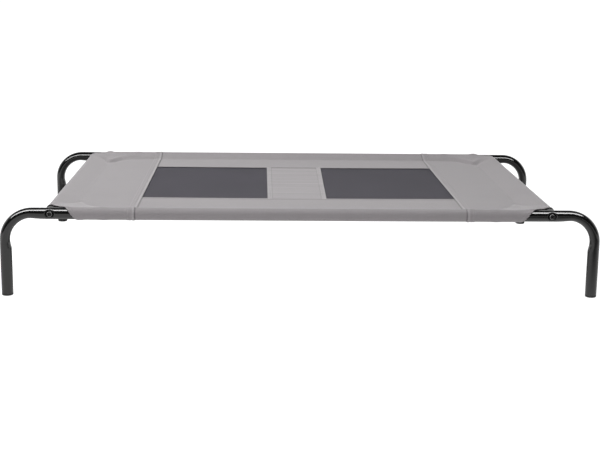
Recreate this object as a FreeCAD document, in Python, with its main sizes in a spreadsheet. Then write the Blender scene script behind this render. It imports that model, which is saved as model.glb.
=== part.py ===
"""Raised dog bed: a steel tube frame on four bent legs, with a sewn cloth cover held on the rails by sleeves.

X runs along the bed, Y from front to rear and Z up. The origin is on the floor, under the bed's middle.
Sizes are in millimetres. The front and right-hand pieces are drawn, and the others are their mirror images.
"""

import FreeCAD, Part
import math
import os
import re

import Sketcher

DRIVING_SIZES = [
    # the frame
    ("overall_length", 1304.0, "over the outsides of the legs, along X"),
    ("overall_width", 800.0, "over the outsides of the long rails, along Y"),
    ("tube_top", 194.0, "height of the top of the rails"),
    ("tube_dia", 25.0, "every tube's outside diameter"),
    ("tube_wall", 1.2, "every tube's wall"),
    ("bend_rad", 59.0, "centreline radius of the leg's bend"),
    ("cross_inset", 109.5, "from the outside of a leg to the cross rail's axis"),
    ("joint_reach", 460.0, "from the middle to the shoulder where the leg plugs into the long rail"),
    ("spigot_dia", 22.2, "swaged end of the leg, inside the long rail"),
    ("spigot_length", 70.0, "from the shoulder"),
    ("swage_length", 5.0, "taper from the tube down to the spigot"),
    # the bolted joint between leg and cross rail
    ("seat_dia", 19.0, "seat pressed into the leg for the bolt's head"),
    ("seat_depth", 2.2, "how far the seat is pressed in"),
    ("seat_half_height", 7.0, "half of the flat's height on the round tube"),
    ("bolt_dia", 6.0, "M6"),
    ("bolt_length", 50.0, "under the head"),
    ("bolt_tip", 1.0, "chamfer at the tip"),
    ("head_dia", 12.0, "button head"),
    ("head_height", 3.3, "button head"),
    ("head_round", 2.6, "rounding of the button head"),
    ("socket_flats", 4.0, "hexagon key"),
    ("socket_depth", 2.2, "hexagon key"),
    ("hole_dia", 6.6, "for the bolt, in the leg and the plug"),
    ("saddle_gap", 6.0, "from the end of the cross rail to the leg's side"),
    ("saddle_wrap", 4.0, "how far the plug's saddle reaches round the leg"),
    ("saddle_play", 0.1, "between the saddle and the leg"),
    ("stem_dia", 22.3, "plug and cap stems, inside their tubes"),
    ("plug_stem", 20.0, "length of the plug's stem"),
    ("nut_flats", 10.0, "M6 hexagon nut"),
    ("nut_height", 5.0, "M6 hexagon nut"),
    ("nut_play", 0.1, "round the nut, and between nut and bolt"),
    # the foot cap
    ("cap_height", 5.0, "the part of the cap that shows under the leg"),
    ("cap_round", 2.5, "rounding of its lower edge"),
    ("cap_stem", 18.0, "length of the cap's stem"),
    ("cap_stem_wall", 2.2, "wall of the cap's hollow stem"),
    # the cover
    ("cover_height", 183.7, "middle of the cloth"),
    ("cloth", 1.2, "one ply with its coating and seams"),
    ("net", 0.8, "the open net panels"),
    ("sleeve_play", 0.3, "between a rail and its sleeve"),
    ("long_tail", 46.0, "from the long rail's axis to the sleeve's stitching"),
    ("cross_tail", 34.0, "from the cross rail's axis to the sleeve's stitching"),
    ("tail_lap", 3.0, "how far the flat cloth runs into the sleeve's stitched edge"),
    ("sleeve_end_x", 506.0, "from the middle to the end of a long sleeve"),
    ("sleeve_end_y", 362.0, "from the middle to the end of a cross sleeve"),
    ("net_outer_x", 358.0, "from the middle to the net's outer edge"),
    ("centre_half", 68.0, "half of the centre band's width"),
    ("centre_shift", 5.0, "how far left of the middle the centre band is sewn"),
    ("net_half_width", 212.0, "from the middle to the net's front edge"),
]

WORKED_OUT_SIZES = [
    ("tube_rad", "tube_dia / 2"),
    ("bore_rad", "tube_rad - tube_wall"),
    ("stem_rad", "stem_dia / 2"),
    ("spigot_rad", "spigot_dia / 2"),
    ("axis_height", "tube_top - tube_rad"),
    ("leg_x", "overall_length / 2 - tube_rad"),
    ("bend_x", "leg_x - bend_rad"),
    ("rail_y", "overall_width / 2 - tube_rad"),
    ("rail_half", "joint_reach - swage_length"),
    ("cross_x", "overall_length / 2 - cross_inset"),
    ("cross_half", "rail_y - tube_rad - saddle_gap"),
    ("seat_y", "overall_width / 2 - seat_depth"),
    ("sleeve_rad", "tube_rad + sleeve_play + cloth"),
    ("lining_rad", "tube_rad + sleeve_play"),
    ("lining_share", "lining_rad / sleeve_rad"),
    ("tail_rise", "cover_height - axis_height"),
    ("flat_half_width", "rail_y - long_tail + tail_lap"),
    ("flat_end_x", "cross_x - cross_tail + tail_lap"),
    ("centre_left", "centre_half + centre_shift"),
    ("centre_right", "centre_half - centre_shift"),
]

ALIASES = {row[0] for row in DRIVING_SIZES + WORKED_OUT_SIZES}
WORD = re.compile(r"[a-z_]+")
SHEET = "Sizes"

doc = FreeCAD.newDocument("raised_dog_bed")


# ---- sizes ----------------------------------------------------------------------------------------


def make_sheet():
    """The spreadsheet: driving sizes as numbers, then the sizes worked out from them."""
    sheet = doc.addObject("Spreadsheet::Sheet", SHEET)
    rows = [(name, str(number), note) for name, number, note in DRIVING_SIZES]
    rows += [(name, "=" + formula, "worked out") for name, formula in WORKED_OUT_SIZES]
    for row, (name, content, note) in enumerate(rows, start=1):
        sheet.set(f"A{row}", name)
        sheet.set(f"B{row}", content)
        sheet.setAlias(f"B{row}", name)
        sheet.set(f"C{row}", note)
    doc.recompute()
    return sheet


sizes = make_sheet()


def bind(thing, what, formula):
    """Ties a property to a formula in the sheet's size names."""
    expression = WORD.sub(lambda word: f"{SHEET}.{word[0]}" if word[0] in ALIASES else word[0], formula)
    thing.setExpression(what, expression)


def value(formula):
    """The number that such a formula comes to, to start a sketch near its final shape."""
    numbers = WORD.sub(lambda word: str(float(getattr(sizes, word[0]))), formula)
    return float(FreeCAD.Units.Quantity(numbers).Value)


def place(thing, x="", y="", z=""):
    for axis, formula in zip("xyz", (x, y, z)):
        if formula:
            bind(thing, f"Placement.Base.{axis}", formula)


# ---- sketches -------------------------------------------------------------------------------------


def make_body(label, x="", y="", z=""):
    body = doc.addObject("PartDesign::Body", label)
    body.Label = label
    place(body, x, y, z)
    return body


def make_sketch(body, plane, offset=""):
    """A sketch on one of the body's origin planes, or offset from it along its normal."""
    sketch = body.newObject("Sketcher::SketchObject", "Sketch")
    origin = [part for part in body.Origin.OriginFeatures if part.Role == plane][0]
    sketch.AttachmentSupport = (origin, [""])
    sketch.MapMode = "FlatFace"
    if offset:
        bind(sketch, "AttachmentOffset.Base.z", offset)
    return sketch


def hold(sketch, kind, *where, formula):
    """A dimension that follows the sheet."""
    index = sketch.addConstraint(Sketcher.Constraint(kind, *where, value(formula)))
    bind(sketch, f"Constraints[{index}]", formula)


def hold_point(sketch, geometry, end, across, up):
    """Pins a point at two formulas; "" means on the sketch's own axis."""
    origin, x_axis, y_axis = (-1, 1), -1, -2
    if across:
        hold(sketch, "DistanceX", *origin, geometry, end, formula=across)
    else:
        sketch.addConstraint(Sketcher.Constraint("PointOnObject", geometry, end, y_axis))
    if up:
        hold(sketch, "DistanceY", *origin, geometry, end, formula=up)
    else:
        sketch.addConstraint(Sketcher.Constraint("PointOnObject", geometry, end, x_axis))


def spot(across, up):
    return FreeCAD.Vector(value(across) if across else 0, value(up) if up else 0, 0)


def add_polygon(sketch, corners):
    """A closed outline through corners given as pairs of formulas."""
    start, end = 1, 2
    lines = []
    for here, there in zip(corners, corners[1:] + corners[:1]):
        lines.append(sketch.addGeometry(Part.LineSegment(spot(*here), spot(*there))))
    for line, following, corner in zip(lines, lines[1:] + lines[:1], corners[1:] + corners[:1]):
        sketch.addConstraint(Sketcher.Constraint("Coincident", line, end, following, start))
        hold_point(sketch, following, start, *corner)


def add_circle(sketch, across, up, radius):
    centre = 3
    upwards = FreeCAD.Vector(0, 0, 1)
    circle = sketch.addGeometry(Part.Circle(spot(across, up), upwards, value(radius)))
    hold_point(sketch, circle, centre, across, up)
    hold(sketch, "Radius", circle, formula=radius)


def add_teardrop(sketch, across, up, radius, tail_across, tail_up):
    """A sleeve's outline: cloth round a tube, drawn in to the stitched edge at the tail."""
    start, end, centre = 1, 2, 3
    middle, tail = spot(across, up), spot(tail_across, tail_up)
    reach = tail - middle
    towards_tail = math.atan2(reach.y, reach.x)
    open_half = math.acos(value(radius) / reach.Length)
    angles = (towards_tail + open_half, towards_tail - open_half + 2 * math.pi)
    circle = Part.Circle(middle, FreeCAD.Vector(0, 0, 1), value(radius))
    arc = sketch.addGeometry(Part.ArcOfCircle(circle, *angles))
    first, last = [circle.value(angle) for angle in angles]
    upper = sketch.addGeometry(Part.LineSegment(tail, first))
    lower = sketch.addGeometry(Part.LineSegment(last, tail))
    sketch.addConstraint(Sketcher.Constraint("Tangent", upper, end, arc, start))
    sketch.addConstraint(Sketcher.Constraint("Tangent", arc, end, lower, start))
    sketch.addConstraint(Sketcher.Constraint("Coincident", lower, end, upper, start))
    hold_point(sketch, arc, centre, across, up)
    hold(sketch, "Radius", arc, formula=radius)
    hold_point(sketch, upper, start, tail_across, tail_up)


def add_hexagon(sketch, flats):
    """A hexagon about the sketch's origin, with two of its sides upright."""
    across = f"{flats} / 2"
    half_side = f"{flats} / 2 * {math.tan(math.pi / 6)}"
    corner = f"{flats} / 2 / {math.cos(math.pi / 6)}"
    right = [(across, f"-{half_side}"), (across, half_side), ("", corner)]
    left = [(f"-{across}", half_side), (f"-{across}", f"-{half_side}"), ("", f"-{corner}")]
    add_polygon(sketch, right + left)


# ---- features -------------------------------------------------------------------------------------


def feature(body, kind, sketch, length="", **settings):
    """A pad, pocket or revolution of a sketch, with its depth bound to the sheet."""
    made = body.newObject(f"PartDesign::{kind}", kind)
    made.Profile = sketch
    for name, setting in settings.items():
        setattr(made, name, setting)
    if length:
        bind(made, "Length", length)
    doc.recompute()
    return made


def cut(body, sketch, length="", **settings):
    """A pocket that must take something away."""
    before = body.Shape.Volume
    feature(body, "Pocket", sketch, length, **settings)
    if not body.Shape.Volume < before - 0.1:
        raise RuntimeError(f"a pocket in {body.Label} cut nothing")


def turned(body, sketch, axis):
    """A full turn of a sketch about its own H_Axis or V_Axis."""
    return feature(body, "Revolution", sketch, ReferenceAxis=(sketch, [axis]), Angle=360.0)


def rounded(body, radius, wanted):
    """Fillets the edges of the body's tip that the test wants."""
    tip = body.Tip
    names = [f"Edge{i}" for i, edge in enumerate(tip.Shape.Edges, start=1) if wanted(edge)]
    fillet = body.newObject("PartDesign::Fillet", "Fillet")
    fillet.Base = (tip, names)
    bind(fillet, "Radius", radius)
    doc.recompute()


def round_edge_at(axis, level, radius):
    """A test for the circular edge of one radius that lies at one level along an axis."""

    def wanted(edge):
        middle = edge.BoundBox.Center[axis]
        is_round = isinstance(edge.Curve, Part.Circle)
        return is_round and abs(middle - level) < 0.01 and abs(edge.Curve.Radius - radius) < 0.01

    return wanted


def make_tube(label, direction, half, x="", y=""):
    """A straight rail: a rod less its bore, centred on its axis."""
    rod = doc.addObject("Part::Cylinder", label + "_rod")
    bore = doc.addObject("Part::Cylinder", label + "_bore")
    for cylinder, radius in ((rod, "tube_rad"), (bore, "bore_rad")):
        bind(cylinder, "Radius", radius)
        bind(cylinder, "Height", f"2 * {half}")
        cylinder.Placement.Rotation = FreeCAD.Rotation(FreeCAD.Vector(0, 0, 1), direction)
        start_x = f"-{half}" if direction.x else x
        start_y = f"-{half}" if direction.y else y
        place(cylinder, start_x, start_y, "axis_height")
    tube = doc.addObject("Part::Cut", label)
    tube.Label = label
    tube.Base = rod
    tube.Tool = bore
    return tube


def make_insert(label, left, length, thickness):
    """A flat rectangle of cloth or net between the two side bands."""
    insert = doc.addObject("Part::Box", label)
    insert.Label = label
    bind(insert, "Length", length)
    bind(insert, "Width", "2 * net_half_width")
    bind(insert, "Height", thickness)
    place(insert, left, "-net_half_width", f"cover_height - {thickness} / 2")
    return insert


def mirrored(source, label, normal):
    """The mirror image of a piece, across the bed's middle."""
    image = doc.addObject("Part::Mirroring", label)
    image.Label = label
    image.Source = source
    image.Normal = normal
    return image


def grouped(members, label):
    group = doc.addObject("Part::Compound", label)
    group.Label = label
    group.Links = members
    return group


ACROSS_X = FreeCAD.Vector(1, 0, 0)
ACROSS_Y = FreeCAD.Vector(0, 1, 0)


def at_four_corners(front_right, name):
    """The piece and its three mirror images, each under its own name."""
    front_right.Label = f"front_right_{name}"
    front_left = mirrored(front_right, f"front_left_{name}", ACROSS_X)
    rear_right = mirrored(front_right, f"rear_right_{name}", ACROSS_Y)
    rear_left = mirrored(front_left, f"rear_left_{name}", ACROSS_Y)
    return [front_right, front_left, rear_right, rear_left]


def in_one_group(front_right, name):
    """Four identical fasteners as separate solids in one node."""
    return [grouped(at_four_corners(front_right, name), f"{name}s")]


# ---- the frame ------------------------------------------------------------------------------------


def make_leg():
    """A bent tube: foot, bend and run, swaged at its end, with a pressed seat and a hole for the bolt."""
    leg = make_body("leg", y="-rail_y", z="axis_height")
    foot_level = "cap_height - axis_height"

    section = make_sketch(leg, "XY_Plane", foot_level)
    add_circle(section, "leg_x", "", "tube_rad")
    add_circle(section, "leg_x", "", "bore_rad")

    path = make_sketch(leg, "XZ_Plane")
    start, end = 1, 2
    upright = path.addGeometry(Part.LineSegment(spot("leg_x", foot_level), spot("leg_x", "-bend_rad")))
    corner = Part.Circle(spot("bend_x", "-bend_rad"), FreeCAD.Vector(0, 0, 1), value("bend_rad"))
    bend = path.addGeometry(Part.ArcOfCircle(corner, 0, math.pi / 2))
    run = path.addGeometry(Part.LineSegment(spot("bend_x", ""), spot("joint_reach", "")))
    path.addConstraint(Sketcher.Constraint("Coincident", upright, end, bend, start))
    path.addConstraint(Sketcher.Constraint("Coincident", bend, end, run, start))
    hold(path, "Radius", bend, formula="bend_rad")
    hold_point(path, upright, start, "leg_x", foot_level)
    hold_point(path, upright, end, "leg_x", "-bend_rad")
    hold_point(path, run, start, "bend_x", "")
    hold_point(path, run, end, "joint_reach", "")

    tube = leg.newObject("PartDesign::AdditivePipe", "Tube")
    tube.Profile = section
    tube.Spine = path
    doc.recompute()

    swage = make_sketch(leg, "XZ_Plane")
    taper_end = "joint_reach - swage_length"
    tip = "joint_reach - spigot_length"
    outside = [("joint_reach", "tube_rad"), (taper_end, "spigot_rad"), (tip, "spigot_rad")]
    inside = [(tip, "spigot_rad - tube_wall"), (taper_end, "spigot_rad - tube_wall"), ("joint_reach", "bore_rad")]
    add_polygon(swage, outside + inside)
    turned(leg, swage, "H_Axis")

    floor_of_seat = make_sketch(leg, "XZ_Plane", "tube_rad - seat_depth")
    left, right = "cross_x - seat_dia / 2 - tube_wall", "cross_x + seat_dia / 2 + tube_wall"
    lower, upper = "-seat_half_height", "seat_half_height"
    add_polygon(floor_of_seat, [(left, lower), (right, lower), (right, upper), (left, upper)])
    feature(leg, "Pad", floor_of_seat, "tube_wall", Reversed=True)

    seat = make_sketch(leg, "XZ_Plane", "tube_rad - seat_depth")
    add_circle(seat, "cross_x", "", "seat_dia / 2")
    cut(leg, seat, "2 * seat_depth", Reversed=True)

    hole = make_sketch(leg, "XZ_Plane")
    add_circle(hole, "cross_x", "", "hole_dia / 2")
    cut(leg, hole, Type="ThroughAll", Midplane=True)
    return leg


def make_foot_cap():
    """A moulded cap: a disc as wide as the leg, and a hollow stem pushed into it."""
    cap = make_body("foot_cap", x="leg_x", y="-rail_y")
    stem_top = "cap_height + cap_stem"
    stem_bore = "stem_rad - cap_stem_wall"
    half = make_sketch(cap, "XZ_Plane")
    disc = [("", ""), ("tube_rad", ""), ("tube_rad", "cap_height"), ("stem_rad", "cap_height")]
    stem = [("stem_rad", stem_top), (stem_bore, stem_top), (stem_bore, "cap_height"), ("", "cap_height")]
    add_polygon(half, disc + stem)
    turned(cap, half, "V_Axis")
    rounded(cap, "cap_round", round_edge_at(axis=2, level=0, radius=value("tube_rad")))
    return cap


def make_end_plug():
    """A moulded plug in the end of a cross rail, hollowed to sit round the leg, with a pocket for the nut."""
    plug = make_body("end_plug", x="cross_x", z="axis_height")
    inner_end = "-cross_half + plug_stem"
    outer_end = "-cross_half - saddle_gap - saddle_wrap"
    half = make_sketch(plug, "XY_Plane")
    stem = [("", inner_end), ("stem_rad", inner_end), ("stem_rad", "-cross_half")]
    head = [("tube_rad", "-cross_half"), ("tube_rad", outer_end), ("", outer_end)]
    add_polygon(half, stem + head)
    turned(plug, half, "V_Axis")

    saddle = make_sketch(plug, "YZ_Plane")
    add_circle(saddle, "-rail_y", "", "tube_rad + saddle_play")
    cut(plug, saddle, Type="ThroughAll", Midplane=True)

    hole = make_sketch(plug, "XZ_Plane")
    add_circle(hole, "", "", "hole_dia / 2")
    cut(plug, hole, Type="ThroughAll", Midplane=True)

    nut_pocket = make_sketch(plug, "XZ_Plane", "cross_half - plug_stem")
    add_hexagon(nut_pocket, "( nut_flats + 2 * nut_play )")
    cut(plug, nut_pocket, "nut_height", Reversed=True)
    return plug


def make_nut():
    """The nut held in the end plug."""
    nut = make_body("nut", x="cross_x", z="axis_height")
    blank = make_sketch(nut, "XZ_Plane", "cross_half - plug_stem")
    add_hexagon(blank, "nut_flats")
    add_circle(blank, "", "", "bolt_dia / 2 + nut_play")
    feature(nut, "Pad", blank, "nut_height")
    return nut


def make_bolt():
    """A button-head bolt with a hexagon socket, through the leg into the end plug's nut."""
    bolt = make_body("bolt", x="cross_x", z="axis_height")
    top = "-seat_y - head_height"
    tip = "-seat_y + bolt_length"
    half = make_sketch(bolt, "XY_Plane")
    head = [("", top), ("head_dia / 2", top), ("head_dia / 2", "-seat_y"), ("bolt_dia / 2", "-seat_y")]
    shank = [("bolt_dia / 2", f"{tip} - bolt_tip"), ("bolt_dia / 2 - bolt_tip", tip), ("", tip)]
    add_polygon(half, head + shank)
    turned(bolt, half, "V_Axis")
    rounded(bolt, "head_round", round_edge_at(axis=1, level=value(top), radius=value("head_dia / 2")))
    socket = make_sketch(bolt, "XZ_Plane", "seat_y + head_height")
    add_hexagon(socket, "socket_flats")
    cut(bolt, socket, "socket_depth")
    return bolt


# ---- the cover ------------------------------------------------------------------------------------


def add_long_sleeve(sketch, outside=True):
    """The front long sleeve's outline on a YZ plane: the cloth's outside, or the space inside it."""
    radius, share = ("sleeve_rad", "1") if outside else ("lining_rad", "lining_share")
    tail = f"-rail_y + long_tail * {share}"
    add_teardrop(sketch, "-rail_y", "axis_height", radius, tail, f"axis_height + tail_rise * {share}")


def add_cross_sleeve(sketch, outside=True):
    """The right cross sleeve's outline on an XZ plane."""
    radius, share = ("sleeve_rad", "1") if outside else ("lining_rad", "lining_share")
    tail = f"cross_x - cross_tail * {share}"
    add_teardrop(sketch, "cross_x", "axis_height", radius, tail, f"axis_height + tail_rise * {share}")


def make_side_band():
    """The front band: flat cloth from the nets to the long sleeve, and the sleeve's middle length."""
    band = make_body("front_band")
    sleeve = make_sketch(band, "YZ_Plane")
    add_long_sleeve(sleeve)
    add_long_sleeve(sleeve, outside=False)
    feature(band, "Pad", sleeve, "2 * net_outer_x", Midplane=True)

    flat = make_sketch(band, "XY_Plane", "cover_height")
    left, right = "-net_outer_x", "net_outer_x"
    outer_edge, inner_edge = "-flat_half_width", "-net_half_width"
    add_polygon(flat, [(left, outer_edge), (right, outer_edge), (right, inner_edge), (left, inner_edge)])
    feature(band, "Pad", flat, "cloth", Midplane=True)
    return band


def make_end_panel():
    """The right end panel: flat cloth, the cross sleeve and the ends of both long sleeves."""
    panel = make_body("right_end_panel")
    long_sleeve = make_sketch(panel, "YZ_Plane", "net_outer_x")
    add_long_sleeve(long_sleeve)
    add_long_sleeve(long_sleeve, outside=False)
    front = feature(panel, "Pad", long_sleeve, "sleeve_end_x - net_outer_x")

    rear = panel.newObject("PartDesign::Mirrored", "RearSleeve")
    rear.Originals = [front]
    middle_plane = [part for part in panel.Origin.OriginFeatures if part.Role == "XZ_Plane"][0]
    rear.MirrorPlane = (middle_plane, [""])
    panel.Tip = rear
    doc.recompute()

    flat = make_sketch(panel, "XY_Plane", "cover_height")
    inner, outer = "net_outer_x", "flat_end_x"
    front_edge, rear_edge = "-flat_half_width", "flat_half_width"
    add_polygon(flat, [(inner, front_edge), (outer, front_edge), (outer, rear_edge), (inner, rear_edge)])
    feature(panel, "Pad", flat, "cloth", Midplane=True)

    cross_sleeve = make_sketch(panel, "XZ_Plane")
    add_cross_sleeve(cross_sleeve)
    add_cross_sleeve(cross_sleeve, outside=False)
    feature(panel, "Pad", cross_sleeve, "2 * sleeve_end_y", Midplane=True)
    return panel


# ---- the bed --------------------------------------------------------------------------------------


def make_bed():
    """Every piece that is written out."""
    along_x, along_y = FreeCAD.Vector(1, 0, 0), FreeCAD.Vector(0, 1, 0)
    front_rail = make_tube("front_rail", along_x, "rail_half", y="-rail_y")
    right_cross_rail = make_tube("right_cross_rail", along_y, "cross_half", x="cross_x")
    front_band = make_side_band()
    right_panel = make_end_panel()
    pieces = [
        front_rail,
        mirrored(front_rail, "rear_rail", ACROSS_Y),
        right_cross_rail,
        mirrored(right_cross_rail, "left_cross_rail", ACROSS_X),
        front_band,
        mirrored(front_band, "rear_band", ACROSS_Y),
        right_panel,
        mirrored(right_panel, "left_end_panel", ACROSS_X),
        make_insert("left_net", "-net_outer_x", "net_outer_x - centre_left", "net"),
        make_insert("centre_band", "-centre_left", "2 * centre_half", "cloth"),
        make_insert("right_net", "centre_right", "net_outer_x - centre_right", "net"),
    ]
    pieces += at_four_corners(make_leg(), "leg")
    pieces += at_four_corners(make_foot_cap(), "foot_cap")
    pieces += at_four_corners(make_end_plug(), "end_plug")
    pieces += in_one_group(make_bolt(), "bolt")
    pieces += in_one_group(make_nut(), "nut")
    doc.recompute()
    return pieces


def check(pieces):
    """Stops if any object failed or any piece isn't one sound solid, or four for the fasteners."""
    for thing in doc.Objects:
        if {"Invalid", "Error"} & set(thing.State):
            raise RuntimeError(f"{thing.Label} failed: {thing.State}")
    for piece in pieces:
        shape = piece.Shape
        wanted = 4 if piece.TypeId == "Part::Compound" else 1
        if shape.isNull() or not shape.isValid() or len(shape.Solids) != wanted:
            raise RuntimeError(f"{piece.Label} isn't a sound solid")


bed = make_bed()
check(bed)
os.makedirs("parts", exist_ok=True)
for piece in bed:
    piece.Shape.exportStep(f"parts/{piece.Label}.step")
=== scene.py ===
"""Looks of a raised dog bed: glossy black tube frame, grey woven cover with dark net inserts, and its sewing.

Everything is in metres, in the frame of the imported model: X along the bed, Y from front to rear, Z up.
"""

import math

import bpy
import numpy as np
from mathutils import Matrix, Vector


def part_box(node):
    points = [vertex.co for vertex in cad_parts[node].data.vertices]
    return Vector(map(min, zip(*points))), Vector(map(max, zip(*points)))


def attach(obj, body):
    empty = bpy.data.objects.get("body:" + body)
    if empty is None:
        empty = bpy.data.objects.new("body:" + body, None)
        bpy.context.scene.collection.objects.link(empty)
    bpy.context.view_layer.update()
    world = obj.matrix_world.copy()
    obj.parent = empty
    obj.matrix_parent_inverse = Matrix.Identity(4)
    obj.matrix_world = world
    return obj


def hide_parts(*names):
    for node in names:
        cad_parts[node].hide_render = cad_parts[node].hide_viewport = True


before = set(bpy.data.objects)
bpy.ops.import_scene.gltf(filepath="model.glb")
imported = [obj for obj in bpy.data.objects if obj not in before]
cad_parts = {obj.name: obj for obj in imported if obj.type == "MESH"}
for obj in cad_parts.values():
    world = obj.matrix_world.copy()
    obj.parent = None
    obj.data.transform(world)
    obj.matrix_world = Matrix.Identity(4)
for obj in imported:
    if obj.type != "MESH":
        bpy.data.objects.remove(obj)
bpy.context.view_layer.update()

MM = 0.001
PER_MM = 1000

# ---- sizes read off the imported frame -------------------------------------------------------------

rail_low, rail_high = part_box("front_rail")
cross_low, cross_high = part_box("right_cross_rail")
leg_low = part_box("front_right_leg")[0]
cap_low, cap_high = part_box("front_right_foot_cap")
net_low, net_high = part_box("right_net")

TUBE_RADIUS = (rail_high.z - rail_low.z) / 2
AXIS_Z = (rail_high.z + rail_low.z) / 2
RAIL_Y = -(rail_high.y + rail_low.y) / 2
CROSS_X = (cross_high.x + cross_low.x) / 2
LEG_X = (cap_high.x + cap_low.x) / 2
LEG_FOOT_Z = leg_low.z
LEG_TIP_X = leg_low.x
SWAGE_LENGTH = 5 * MM
SHOULDER_X = rail_high.x + SWAGE_LENGTH
BOLT_FACE_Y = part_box("bolts")[0].y
COVER_Z = (net_low.z + net_high.z) / 2
NET_OUTER_X = net_high.x
NET_HALF_Y = net_high.y
CENTRE_RIGHT = net_low.x
CENTRE_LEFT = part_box("left_net")[1].x
CENTRE_MIDDLE = (CENTRE_LEFT + CENTRE_RIGHT) / 2
CENTRE_HALF = (CENTRE_RIGHT - CENTRE_LEFT) / 2

# ---- sizes of the sewing -------------------------------------------------------------------------

PLY = 0.8 * MM
NET_THICKNESS = 0.6 * MM
SLEEVE_RADIUS = TUBE_RADIUS + 0.7 * MM
STITCH_Y = RAIL_Y - 45.5 * MM
STITCH_X = CROSS_X - 50 * MM
SEAM_WIDTH = 17 * MM
SEAM_ROWS = (6.5 * MM, 13.5 * MM)
SEAM_TUCK = 8 * MM
INSERT_TUCK = 7 * MM
BAND_HEM, BAND_ROW = 10 * MM, 6 * MM
CENTRE_HEM, CENTRE_ROW = 9.5 * MM, 6 * MM
HEM_LENGTH, HEM_ROW = 10 * MM, 7 * MM
STITCH_PITCH = 3.8 * MM


# ---- small tools ---------------------------------------------------------------------------------


def deselect():
    if bpy.context.object and bpy.context.object.mode != "OBJECT":
        bpy.ops.object.mode_set(mode="OBJECT")
    bpy.ops.object.select_all(action="DESELECT")


def only(piece):
    """Makes one object the selected and active one."""
    deselect()
    piece.select_set(True)
    bpy.context.view_layer.objects.active = piece
    return piece


def named(name):
    piece = bpy.context.object
    piece.name = name
    piece.data.name = name
    return piece


def pick(piece, wanted, kind="VERT"):
    """In edit mode, selects the vertices, or the faces by their middles, that the test wants."""
    bpy.ops.mesh.select_mode(type=kind)
    bpy.ops.mesh.select_all(action="DESELECT")
    bpy.ops.object.mode_set(mode="OBJECT")
    if kind == "VERT":
        for vertex in piece.data.vertices:
            vertex.select = wanted(vertex.co)
    else:
        for face in piece.data.polygons:
            face.select = wanted(face.center)
    bpy.ops.object.mode_set(mode="EDIT")


def spots_of(mesh):
    """The mesh's vertices as rows of x, y and z."""
    spots = np.empty(len(mesh.vertices) * 3)
    mesh.vertices.foreach_get("co", spots)
    return spots.reshape(-1, 3)


def put_spots(mesh, spots):
    mesh.vertices.foreach_set("co", spots.ravel())
    mesh.update()


def apply_modifiers(piece):
    only(piece)
    for modifier in list(piece.modifiers):
        bpy.ops.object.modifier_apply(modifier=modifier.name)
    return piece


def settle(piece):
    """Puts the object's place and turn into its mesh."""
    only(piece)
    bpy.ops.object.transform_apply(location=True, rotation=True, scale=True)
    return piece


def smooth(piece, degrees=40):
    only(piece)
    bpy.ops.object.shade_smooth_by_angle(angle=math.radians(degrees))
    return piece


def mirror_copy(piece, name, across_x=False, across_y=False):
    """A copy with its own mesh, mirrored across the bed's middle, its faces still outwards."""
    copy = piece.copy()
    copy.data = piece.data.copy()
    copy.name = copy.data.name = name
    bpy.context.collection.objects.link(copy)
    only(copy)
    bpy.ops.object.mode_set(mode="EDIT")
    bpy.ops.mesh.select_all(action="SELECT")
    scale = (-1 if across_x else 1, -1 if across_y else 1, 1)
    bpy.ops.transform.resize(value=scale, center_override=(0, 0, 0))
    if across_x != across_y:
        bpy.ops.mesh.flip_normals()
    bpy.ops.object.mode_set(mode="OBJECT")
    return copy


def join(pieces, name):
    deselect()
    for piece in pieces:
        piece.select_set(True)
    bpy.context.view_layer.objects.active = pieces[0]
    bpy.ops.object.join()
    return named(name)


def extrude_to(step, resize=None, about=None):
    """Extrudes what is selected by a step, then scales the new ring about a point."""
    bpy.ops.mesh.extrude_region_move(TRANSFORM_OT_translate={"value": step})
    if resize:
        bpy.ops.transform.resize(value=resize, center_override=about)


# ---- shader maths --------------------------------------------------------------------------------


class Sum:
    """A shader socket that can be added, multiplied and so on, each adding a Math node."""

    def __init__(self, nodes, socket):
        self.nodes = nodes
        self.socket = socket

    def math(self, operation, *others):
        return self.nodes.node("ShaderNodeMath", {"operation": operation}, self, *others)

    def __add__(self, other):
        return self.math("ADD", other)

    def __sub__(self, other):
        return self.math("SUBTRACT", other)

    def __mul__(self, other):
        return self.math("MULTIPLY", other)

    def __truediv__(self, other):
        return self.math("DIVIDE", other)

    def __rsub__(self, other):
        return self.nodes.node("ShaderNodeMath", {"operation": "SUBTRACT"}, other, self)

    __radd__ = __add__
    __rmul__ = __mul__

    def size(self):
        return self.math("ABSOLUTE")

    def clamped(self):
        return self.nodes.node("ShaderNodeClamp", {}, self, 0.0, 1.0)

    def near(self, middle, half):
        """How far inside a band round the middle a value lies, at most 1, and 0 outside the band."""
        return (half - (self - middle).size()).clamped()


class Nodes:
    """A node tree, and the one way that nodes are added to it."""

    def __init__(self, tree):
        self.tree = tree

    def node(self, kind, settings, *inputs, output=0, **named_inputs):
        made = self.tree.nodes.new(kind)
        for name, setting in settings.items():
            setattr(made, name, setting)
        for where, given in [*enumerate(inputs), *named_inputs.items()]:
            where = where.replace("_", " ") if isinstance(where, str) else where
            if isinstance(given, Sum):
                self.tree.links.new(given.socket, made.inputs[where])
            else:
                made.inputs[where].default_value = given
        return Sum(self, made.outputs[output])

    def axis(self, vector, index):
        return self.node("ShaderNodeSeparateXYZ", {}, vector, output=index)


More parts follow.
